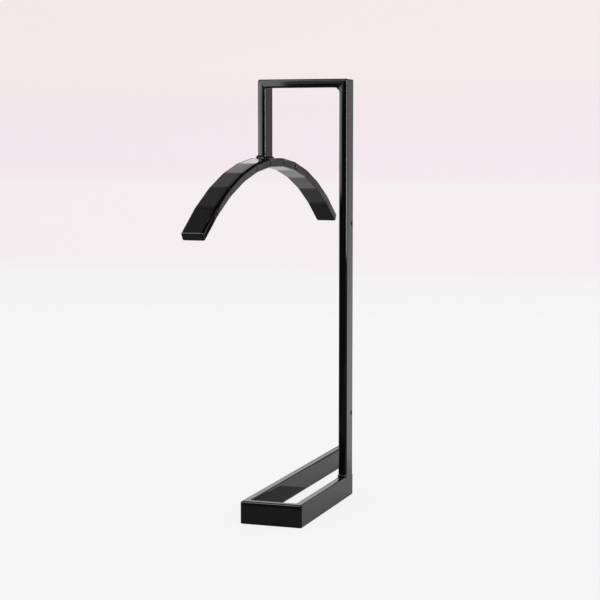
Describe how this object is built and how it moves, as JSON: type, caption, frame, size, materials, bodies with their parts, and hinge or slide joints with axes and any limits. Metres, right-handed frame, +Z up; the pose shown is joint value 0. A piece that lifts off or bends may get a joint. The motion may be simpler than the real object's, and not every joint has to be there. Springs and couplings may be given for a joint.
{
  "type": "coat rack",
  "caption": "Compact valet coat rack: a facetted shoulder arch hangs from a slim tube frame above an open-ended trouser bar, to stand on its foot or screw to a wall.",
  "frame": {"origin": "on the floor, under the middle of the rack's bounding box", "axes": "+Z up, +X from the shoulder arch towards the post and the wall, +Y along the trouser bar towards its free end"},
  "size_m": [0.1135, 0.4534, 0.48],
  "materials": {
    "coat": "gloss black powder coat on steel tube",
    "cap": "glossy black moulded plug",
    "weld": "gloss black powder coat over a weld bead"
  },
  "bodies": {
    "root": {"post": "coat", "arm": "coat", "drop": "coat", "arch_segment_01": "coat", "arch_segment_02": "coat", "arch_segment_03": "coat", "arch_segment_04": "coat", "arch_segment_05": "coat", "arch_segment_06": "coat", "arch_segment_07": "coat", "arch_segment_08": "coat", "arch_segment_09": "coat", "arch_segment_10": "coat", "arch_segment_11": "coat", "arch_cap_front": "cap", "arch_cap_rear": "cap", "wall_bar": "coat", "front_bar": "coat", "trouser_bar": "coat", "wall_bar_cap": "cap", "trouser_bar_cap": "cap", "screw_sleeve_upper": "coat", "screw_sleeve_lower": "coat", "arch_weld": "weld", "arm_weld": "weld", "foot_weld": "weld"}
  },
  "joints": []
}
